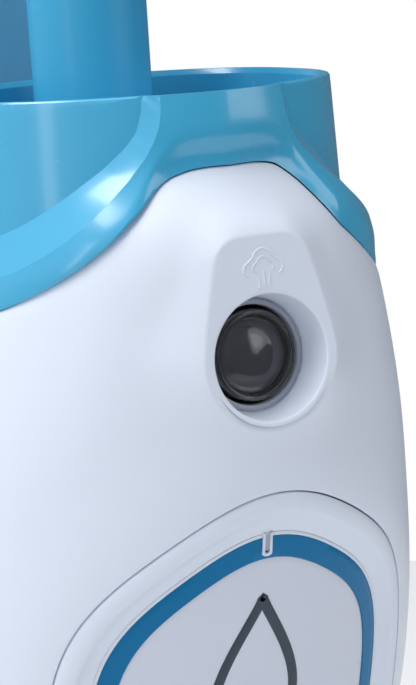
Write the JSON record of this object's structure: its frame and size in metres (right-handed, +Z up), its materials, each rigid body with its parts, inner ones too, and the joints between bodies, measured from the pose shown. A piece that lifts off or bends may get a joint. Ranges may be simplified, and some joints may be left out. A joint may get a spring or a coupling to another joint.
{
  "type": "steam mop",
  "caption": "Upright steam mop with a flat padded floor head, swivelling neck, two-tone body, lift-off water tank, slim pole and loop handle.",
  "frame": {"origin": "on the floor, straight under the axis of the pole", "axes": "+Z up along the pole, front of the mop towards -Y, +X to the right when seen from the front"},
  "size_m": [0.298, 0.19, 1.2],
  "materials": {
    "body_white": "satin moulded",
    "column_blue": "satin moulded",
    "collar_blue": "satin moulded",
    "badge_blue": "glossy, slightly clear",
    "badge_label": "fine matt film",
    "emblem_slate": "printed",
    "button_clear": "clear polished",
    "button_dark": "dark lens",
    "trim_grey": "satin",
    "tank_clear": "tinted clear moulded",
    "tank_blue": "satin moulded",
    "seal_rubber": "silicone",
    "dark_rubber": "soft grip",
    "dark_plastic": "moulded",
    "grey_plastic": "moulded",
    "steel": "plated",
    "aluminium": "cast",
    "pole_blue": "powder coat",
    "board_green": "solder mask",
    "microfibre": "looped microfibre",
    "hook_tape": "hook tape",
    "led_clear": "clear"
  },
  "bodies": {
    "head": {"sole_plate": "dark_plastic", "head_cover": "body_white", "steam_channel_plate": "grey_plastic", "manifold_seal": "seal_rubber", "hook_strips": "hook_tape", "mop_pad": "microfibre", "head_screws": "steel", "pitch_pins": "steel"},
    "knuckle": {"knuckle": "grey_plastic", "swivel_pin": "steel"},
    "upright": {"neck_fork": "collar_blue", "neck_ring": "trim_grey", "front_shell": "body_white", "rear_shell": "body_white", "shell_screws": "steel", "collar": "collar_blue", "collar_deck": "collar_blue", "column_screws": "steel", "badge_bezel": "body_white", "badge_ring": "badge_blue", "badge_plate": "badge_label", "badge_emblem": "emblem_slate", "button_well": "dark_plastic", "well_ring": "trim_grey", "button_spring": "steel", "microswitch": "dark_plastic", "control_board": "board_green", "indicator_led": "led_clear", "boiler": "aluminium", "boiler_bracket": "steel", "thermostats": "steel", "pump": "dark_plastic", "pump_mounts": "dark_rubber", "water_tube": "seal_rubber", "steam_tube": "seal_rubber", "tank_socket": "grey_plastic", "socket_seal": "seal_rubber", "cord_gland": "dark_rubber", "column": "column_blue", "pole_ferrule": "trim_grey", "pole": "pole_blue", "handle_left": "column_blue", "handle_right": "column_blue", "grip_insert": "dark_rubber", "lower_cord_hook": "grey_plastic", "hook_base": "grey_plastic"},
    "button": {"button_cap": "button_clear", "button_core": "button_dark"},
    "tank": {"tank_shell": "tank_clear", "tank_top": "tank_blue", "tank_valve": "grey_plastic", "inlet_filter": "grey_plastic", "cap_hinge": "tank_blue"},
    "tank_cap": {"tank_cap": "tank_blue"},
    "tank_latch": {"tank_latch": "trim_grey"},
    "pole_button": {"pole_button": "trim_grey"},
    "upper_hook": {"upper_cord_hook": "grey_plastic"}
  },
  "joints": [
    {"name": "neck_pitch", "type": "hinge", "parent": "head", "child": "knuckle", "pos_m": [0, 0.01, 0.04], "axis": [-1, 0, 0], "range_deg": [0, 75]},
    {"name": "neck_swivel", "type": "hinge", "parent": "knuckle", "child": "upright", "pos_m": [0, 0, 0.084], "axis": [0, 1, 0], "range_deg": [-60, 60]},
    {"name": "steam_button_press", "type": "slide", "parent": "upright", "child": "button", "axis": [0, 0.9951, -0.0993], "range_m": [0, 0.003], "stiffness_N_per_m": 600, "springref_m": -0.002},
    {"name": "tank_lift", "type": "slide", "parent": "upright", "child": "tank", "axis": [0, 0, 1], "range_m": [0, 0.14]},
    {"name": "tank_cap_hinge", "type": "hinge", "parent": "tank", "child": "tank_cap", "pos_m": [0, 0.067, 0.567], "axis": [-1, 0, 0], "range_deg": [0, 100]},
    {"name": "tank_latch_press", "type": "slide", "parent": "tank", "child": "tank_latch", "axis": [0, -1, 0], "range_m": [0, 0.003], "stiffness_N_per_m": 500, "springref_m": -0.002},
    {"name": "pole_button_press", "type": "slide", "parent": "upright", "child": "pole_button", "axis": [0, 1, 0], "range_m": [0, 0.003], "stiffness_N_per_m": 500, "springref_m": -0.002},
    {"name": "upper_hook_swivel", "type": "hinge", "parent": "upright", "child": "upper_hook", "pos_m": [0, 0.019, 0.996], "axis": [0, 1, 0], "range_deg": [0, 180]}
  ]
}
